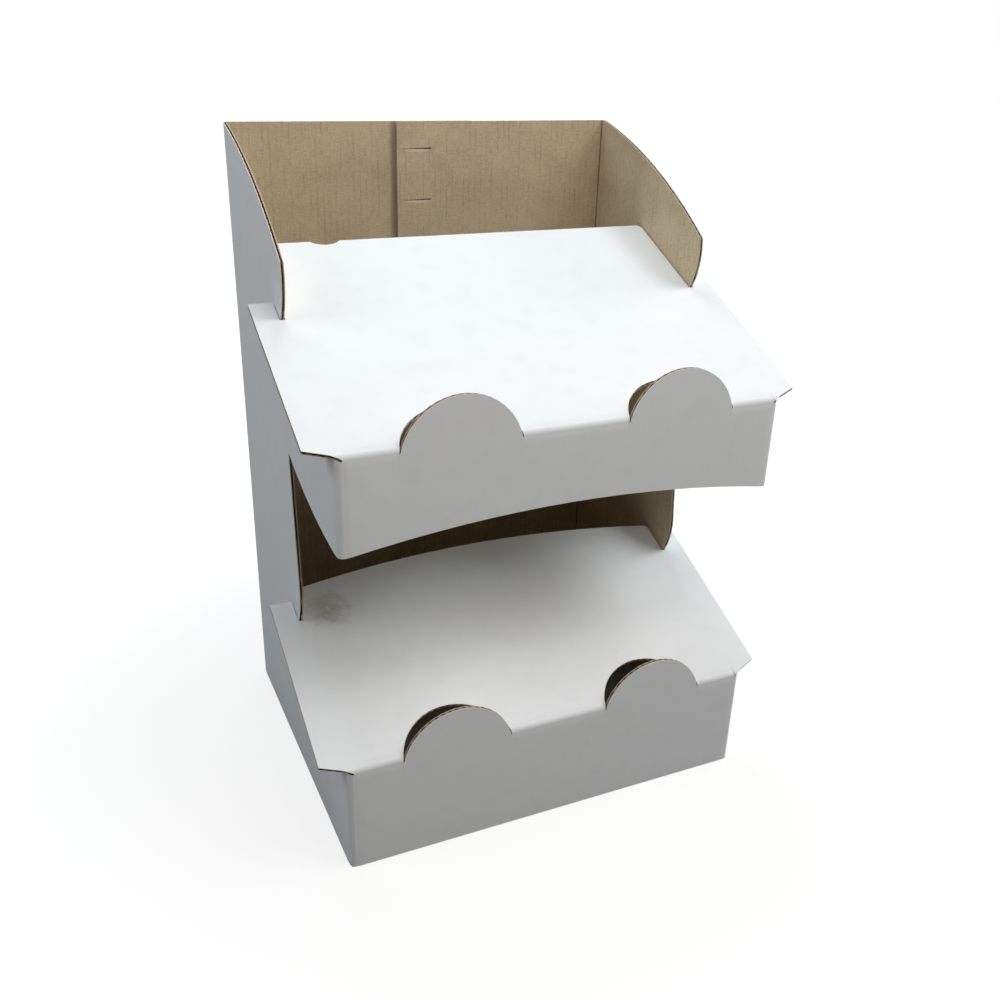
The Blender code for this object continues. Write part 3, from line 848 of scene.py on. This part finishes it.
def cut_liner(colours):
    """Bleached liner where the knife cut it: bare fibres without the coating, cream and quite matt."""
    return plain_paper("cut_liner_edge", colours.cut, 0.85)


def cut_kraft(colours):
    """Kraft liner where the knife cut it: torn brown fibres, lighter than the pressed face."""
    return plain_paper("cut_kraft_edge", colours.cut_kraft, 0.85)


def fluting(colours):
    """Recycled fluting paper inside the board: thin and rough, with no shine; its dark grey-brown is
    partly painted shade of the hollows between the flutes.
    """
    return plain_paper("recycled_fluting", colours.medium, 0.9)


def cut_fluting(colours):
    """Fluting paper where the knife cut it: a fuzzy edge, lighter than the paper's face."""
    return plain_paper("cut_fluting", colours.cut_medium, 0.9)


class STAND_OT_outer_liner(bpy.types.Operator):
    """Makes the white outer liner of the folded board"""

    bl_idname = "stand.outer_liner"
    bl_label = "Outer Liner"

    def execute(self, context):
        make, blank, points, faces, wave = blank_sheet(context.scene)
        colours = context.scene.stand_colours
        top = make.board / 2 - make.washboard * (1 - wave) / 2
        under = top - make.liner
        finishes = [bleached_liner(colours), cut_liner(colours)]
        paper("outer_liner", blank, points, faces, top, under, finishes, [0, 1, 1])
        return {"FINISHED"}


class STAND_OT_fluted_medium(bpy.types.Operator):
    """Makes the fluted paper between the two liners"""

    bl_idname = "stand.fluted_medium"
    bl_label = "Fluted Medium"

    def execute(self, context):
        make, blank, points, faces, wave = blank_sheet(context.scene)
        colours = context.scene.stand_colours
        swing = make.board / 2 - make.liner - make.medium / 2
        lean = 2 * math.pi / make.pitch * swing * np.cos(2 * math.pi * points[:, 0] / make.pitch)
        half = make.medium / 2 * np.sqrt(1 + lean ** 2)
        top, under = swing * wave + half, swing * wave - half
        finishes = [fluting(colours), cut_fluting(colours)]
        paper("fluted_medium", blank, points, faces, top, under, finishes, [0, 0, 1])
        return {"FINISHED"}


class STAND_OT_inner_liner(bpy.types.Operator):
    """Makes the brown inner liner of the folded board"""

    bl_idname = "stand.inner_liner"
    bl_label = "Inner Liner"

    def execute(self, context):
        make, blank, points, faces, wave = blank_sheet(context.scene)
        colours = context.scene.stand_colours
        under = -make.board / 2 + make.washboard * (1 + wave) / 2
        top = under + make.liner
        finishes = [kraft_liner(colours, make, blank), cut_kraft(colours)]
        paper("inner_liner", blank, points, faces, top, under, finishes, [1, 0, 1])
        return {"FINISHED"}


class STAND_OT_studio(bpy.types.Operator):
    """Makes the floor, the lamps, the even light and the camera"""

    bl_idname = "stand.studio"
    bl_label = "Studio"

    def execute(self, context):
        scene = context.scene
        studio_floor(scene)
        studio_lamps(scene)
        studio_light(scene)
        studio_camera(scene)
        scene.view_settings.view_transform = "Standard"
        return {"FINISHED"}


def studio_floor(scene):
    """Wide flat floor just below the stand's bottom edge."""
    mesh = bpy.data.meshes.new("floor")
    x, z = FLOOR_REACH, -FLOOR_DROP
    mesh.from_pydata([(-x, -x, z), (x, -x, z), (x, x, z), (-x, x, z)], [], [(0, 1, 2, 3)])
    mesh.materials.append(white_sweep(scene))
    floor = bpy.data.objects.new("floor", mesh)
    scene.collection.objects.link(floor)


def studio_lamps(scene):
    """Square soft lamps, all turned to the middle of the stand."""
    for name, place, side, power, tint in LAMPS:
        lamp = bpy.data.lights.new(name, "AREA")
        lamp.size = side
        lamp.energy = power
        lamp.color = tint
        box = bpy.data.objects.new(name, lamp)
        scene.collection.objects.link(box)
        box.location = place
        box.rotation_euler = (Vector(LAMP_AIM) - box.location).to_track_quat("-Z", "Y").to_euler()


def seen_straight(tree):
    """1 for what the camera sees, also in a mirror or through glass, and 0 for the light the stand gets."""
    rays = add(tree, "LightPath").node.outputs
    bounced = add(tree, "Math", {0: rays["Is Glossy Ray"], 1: rays["Is Transmission Ray"]}, operation="ADD")
    return add(tree, "Math", {0: rays["Is Camera Ray"], 1: bounced}, operation="ADD", use_clamp=True)


def studio_light(scene):
    """Faint even light from all round, in front of a white backdrop."""
    world = bpy.data.worlds.new("studio")
    world.use_nodes = True
    tree = world.node_tree
    tree.nodes.clear()
    strength = add(tree, "Mix", {"Factor": seen_straight(tree), "A": scene.stand_studio.sky, "B": 1.0},
                   data_type="FLOAT")
    sky = add(tree, "Background", {"Color": WHITE, "Strength": strength})
    add(tree, "OutputWorld", {"Surface": sky})
    scene.world = world


def studio_camera(scene):
    """The photograph's viewpoint: the camera is rolled, tilted and turned from looking along +Y."""
    studio = scene.stand_studio
    camera = bpy.data.cameras.new("camera")
    camera.sensor_width = SENSOR_WIDTH
    camera.lens = studio.lens
    camera.clip_start = CAMERA_NEAR
    viewer = bpy.data.objects.new("camera", camera)
    scene.collection.objects.link(viewer)
    tilt, roll_turn, heading = studio.camera_turn
    turn = (Matrix.Rotation(heading, 4, "Z") @ Matrix.Rotation(tilt, 4, "X")
            @ Matrix.Rotation(roll_turn, 4, "Y") @ Matrix.Rotation(math.pi / 2, 4, "X"))
    viewer.matrix_world = Matrix.Translation(studio.camera_place) @ turn
    scene.camera = viewer


def white_sweep(scene):
    """Matt white paper sweep, which glows white round the stand and keeps its soft shadow. Inside the
    stand's walls it doesn't glow."""
    made = bpy.data.materials.new("white_sweep")
    made.use_nodes = True
    tree = made.node_tree
    tree.nodes.clear()
    place = add(tree, "TexCoord").node.outputs["Object"]
    off = add(tree, "VectorMath", {0: place}, operation="ABSOLUTE")
    side = add(tree, "SeparateXYZ", {0: off}).node.outputs
    board = scene.stand_board.board
    half_width = CAD_SIZE.x / 2 - scene.stand_sizes.ear_width - board / 2
    half_depth = (CAD_SIZE.y - board) / 2
    wide = add(tree, "Math", {0: side["X"], 1: half_width}, operation="GREATER_THAN")
    deep = add(tree, "Math", {0: side["Y"], 1: half_depth}, operation="GREATER_THAN")
    outside = add(tree, "Math", {0: wide, 1: deep}, operation="MAXIMUM")
    glows = add(tree, "Math", {0: seen_straight(tree), 1: outside}, operation="MULTIPLY")
    away = add(tree, "VectorMath", {0: place}, operation="LENGTH")
    level = add(tree, "MapRange", {"Value": away, "From Min": GLOW_PLACES[0], "From Max": GLOW_PLACES[1],
                                   "To Min": GLOW_LEVELS[0], "To Max": GLOW_LEVELS[1]},
                interpolation_type="SMOOTHSTEP")
    strength = add(tree, "Math", {0: glows, 1: level}, operation="MULTIPLY")
    grey = add(tree, "Mix", {"Factor": glows, "A": (*FLOOR_BOUNCE, 1.0), "B": (*FLOOR_SEEN, 1.0)},
               data_type="RGBA")
    matt = add(tree, "BsdfDiffuse", {"Color": grey})
    glow = add(tree, "Emission", {"Color": WHITE, "Strength": strength})
    both = add(tree, "AddShader", {0: matt, 1: glow})
    add(tree, "OutputMaterial", {"Surface": both})
    return made


class STAND_PT_sidebar(bpy.types.Panel):
    """Lists the steps that make the stand and its studio"""

    bl_label = "Display Stand"
    bl_idname = "STAND_PT_sidebar"
    bl_space_type = "VIEW_3D"
    bl_region_type = "UI"
    bl_category = "Display Stand"

    def draw(self, context):
        for owner in ("stand_sizes", "stand_board", "stand_colours", "stand_studio"):
            settings = getattr(context.scene, owner)
            box = self.layout.box()
            for name in settings.__annotations__:
                box.prop(settings, name)
        for step in STEPS:
            self.layout.operator(step)


STEPS = ("stand.outer_liner", "stand.fluted_medium", "stand.inner_liner", "stand.studio")
GROUPS = {
    "stand_sizes": StandSizes,
    "stand_board": BoardMake,
    "stand_colours": PaperColours,
    "stand_studio": StudioSettings,
}
CLASSES = (*GROUPS.values(), STAND_OT_outer_liner, STAND_OT_fluted_medium, STAND_OT_inner_liner,
           STAND_OT_studio, STAND_PT_sidebar)


def register():
    """Registers the classes and hangs the settings on the scene."""
    for kind in CLASSES:
        bpy.utils.register_class(kind)
    for name, group in GROUPS.items():
        setattr(bpy.types.Scene, name, bpy.props.PointerProperty(type=group))


def unregister():
    """Takes the settings and the classes away again."""
    for name in GROUPS:
        delattr(bpy.types.Scene, name)
    for kind in reversed(CLASSES):
        bpy.utils.unregister_class(kind)


def main():
    register()
    bpy.ops.stand.outer_liner()
    bpy.ops.stand.fluted_medium()
    bpy.ops.stand.inner_liner()
    bpy.ops.stand.studio()


if __name__ == "__main__":
    main()
